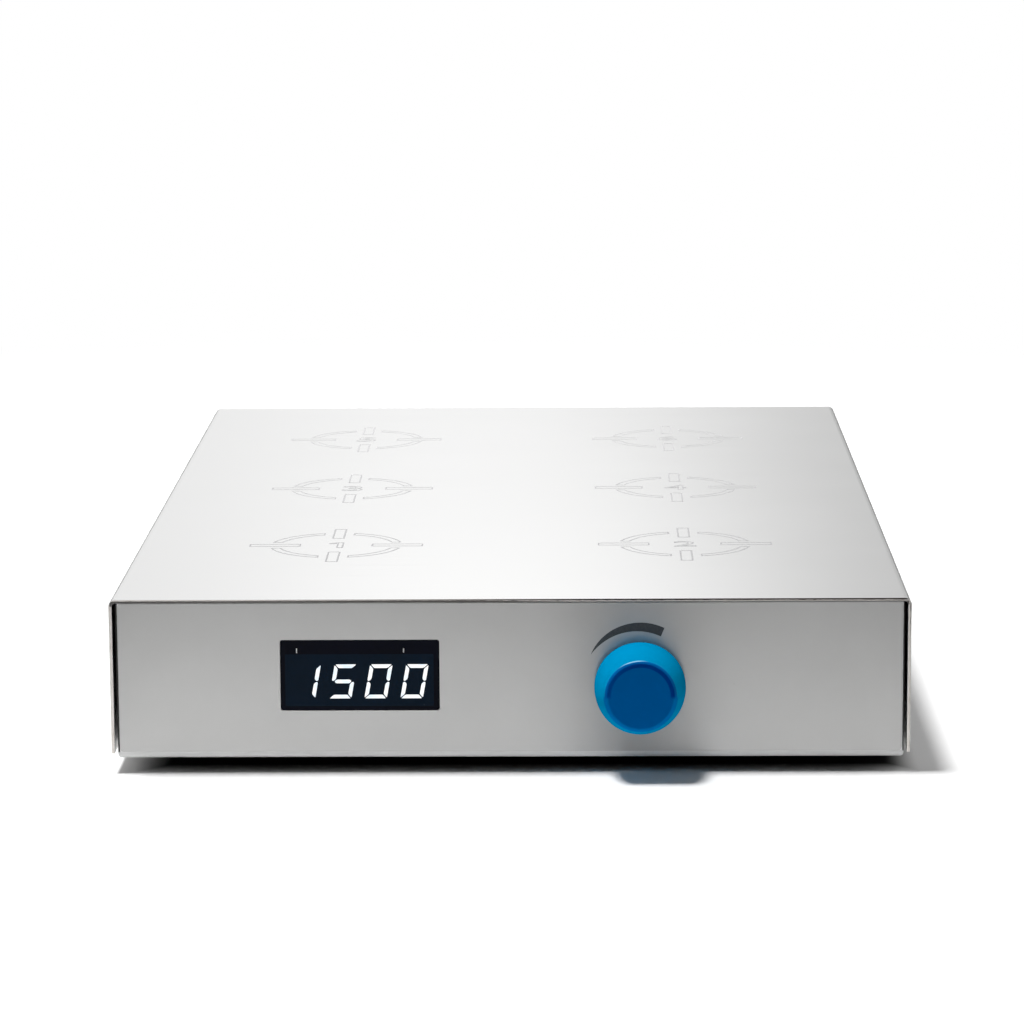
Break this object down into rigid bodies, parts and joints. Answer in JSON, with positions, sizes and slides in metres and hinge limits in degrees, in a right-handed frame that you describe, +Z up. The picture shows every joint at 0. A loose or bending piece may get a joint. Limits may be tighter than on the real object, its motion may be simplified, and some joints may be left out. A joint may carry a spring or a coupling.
{
  "type": "multi-position magnetic stirrer",
  "caption": "Flat bench stirrer: a bent steel cover over a tray, a tinted digital display, one turn-and-push knob, and belt-driven magnet rotors under marked places.",
  "frame": {"origin": "on the floor under the middle of the whole outline, knob and rear switch included", "axes": "+X to the right and +Y to the back, seen by someone who reads the display; +Z up"},
  "size_m": [0.2842, 0.455, 0.062],
  "materials": {
    "cover_steel": "fine brushed",
    "tray_zinc": "galvanised",
    "front_film": "satin printed film",
    "window_tint": "polished",
    "knob_blue": "satin moulded",
    "foot_rubber": "matt",
    "screw_steel": "plated",
    "dark_plastic": "fine texture",
    "key_plastic": "moulded",
    "board": "solder mask",
    "cable": "flexible",
    "spindle_steel": "ground",
    "bush_bronze": "sintered",
    "turned_aluminium": "turned",
    "magnet_ferrite": "sintered",
    "belt_rubber": "smooth"
  },
  "bodies": {
    "chassis": {"top_cover": "cover_steel", "base_tray": "tray_zinc", "drive_bridge": "tray_zinc", "front_overlay": "front_film", "display_window": "window_tint", "foot_1": "foot_rubber", "foot_2": "foot_rubber", "foot_3": "foot_rubber", "foot_4": "foot_rubber", "cover_screw_1": "screw_steel", "cover_screw_2": "screw_steel", "cover_screw_3": "screw_steel", "cover_screw_4": "screw_steel", "encoder_nut": "screw_steel", "display_module": "dark_plastic", "encoder_body": "dark_plastic", "mains_inlet": "dark_plastic", "switch_housing": "dark_plastic", "display_board": "board", "main_board": "board", "display_ribbon": "cable", "mains_lead": "cable", "spindle_1": "spindle_steel", "spindle_2": "spindle_steel", "spindle_3": "spindle_steel", "spindle_4": "spindle_steel", "spindle_5": "spindle_steel", "spindle_6": "spindle_steel", "motor_base": "turned_aluminium", "front_belt_left": "belt_rubber", "rear_belt_left": "belt_rubber", "motor_belt_left": "belt_rubber", "front_belt_right": "belt_rubber", "rear_belt_right": "belt_rubber", "motor_belt_right": "belt_rubber"},
    "motor_rotor": {"motor_bell": "spindle_steel", "motor_shaft": "spindle_steel", "drive_pulley": "turned_aluminium"},
    "stir_1": {"stir_rotor_1": "turned_aluminium", "rotor_bush_1": "bush_bronze", "bar_magnet_1": "magnet_ferrite"},
    "stir_2": {"stir_rotor_2": "turned_aluminium", "rotor_bush_2": "bush_bronze", "bar_magnet_2": "magnet_ferrite"},
    "stir_3": {"stir_rotor_3": "turned_aluminium", "rotor_bush_3": "bush_bronze", "bar_magnet_3": "magnet_ferrite"},
    "stir_4": {"stir_rotor_4": "turned_aluminium", "rotor_bush_4": "bush_bronze", "bar_magnet_4": "magnet_ferrite"},
    "stir_5": {"stir_rotor_5": "turned_aluminium", "rotor_bush_5": "bush_bronze", "bar_magnet_5": "magnet_ferrite"},
    "stir_6": {"stir_rotor_6": "turned_aluminium", "rotor_bush_6": "bush_bronze", "bar_magnet_6": "magnet_ferrite"},
    "detent_wheel": {"encoder_wheel": "dark_plastic"},
    "control_knob": {"knob": "knob_blue", "encoder_shaft": "turned_aluminium"},
    "rocker": {"rocker_key": "key_plastic"}
  },
  "joints": [
    {"name": "motor_spin", "type": "hinge", "parent": "chassis", "child": "motor_rotor", "pos_m": [0, 0.01347, 0.03], "axis": [0, 0, 1], "continuous": true},
    {"name": "stir_spin_1", "type": "hinge", "parent": "chassis", "child": "stir_1", "pos_m": [-0.065, -0.10853, 0.04], "axis": [0, 0, 1], "continuous": true},
    {"name": "stir_spin_2", "type": "hinge", "parent": "chassis", "child": "stir_2", "pos_m": [0.065, -0.10853, 0.04], "axis": [0, 0, 1], "continuous": true},
    {"name": "stir_spin_3", "type": "hinge", "parent": "chassis", "child": "stir_3", "pos_m": [-0.065, 0.01347, 0.04], "axis": [0, 0, 1], "continuous": true},
    {"name": "stir_spin_4", "type": "hinge", "parent": "chassis", "child": "stir_4", "pos_m": [0.065, 0.01347, 0.04], "axis": [0, 0, 1], "continuous": true},
    {"name": "stir_spin_5", "type": "hinge", "parent": "chassis", "child": "stir_5", "pos_m": [-0.065, 0.13547, 0.04], "axis": [0, 0, 1], "continuous": true},
    {"name": "stir_spin_6", "type": "hinge", "parent": "chassis", "child": "stir_6", "pos_m": [0.065, 0.13547, 0.04], "axis": [0, 0, 1], "continuous": true},
    {"name": "knob_turn", "type": "hinge", "parent": "chassis", "child": "detent_wheel", "pos_m": [0.0455, -0.21053, 0.0308], "axis": [0, 1, 0], "continuous": true},
    {"name": "knob_push", "type": "slide", "parent": "detent_wheel", "child": "control_knob", "axis": [0, 1, 0], "range_m": [0, 0.0005], "stiffness_N_per_m": 4000, "springref_m": -0.0005},
    {"name": "rocker_tilt", "type": "hinge", "parent": "chassis", "child": "rocker", "pos_m": [0.094, 0.22237, 0.033], "axis": [-1, 0, 0], "range_deg": [0, 20]}
  ],
  "couplings": [
    {"joint": "stir_spin_1", "follows": "motor_spin", "ratio": 0.5},
    {"joint": "stir_spin_2", "follows": "motor_spin", "ratio": 0.5},
    {"joint": "stir_spin_3", "follows": "motor_spin", "ratio": 0.5},
    {"joint": "stir_spin_4", "follows": "motor_spin", "ratio": 0.5},
    {"joint": "stir_spin_5", "follows": "motor_spin", "ratio": 0.5},
    {"joint": "stir_spin_6", "follows": "motor_spin", "ratio": 0.5}
  ]
}
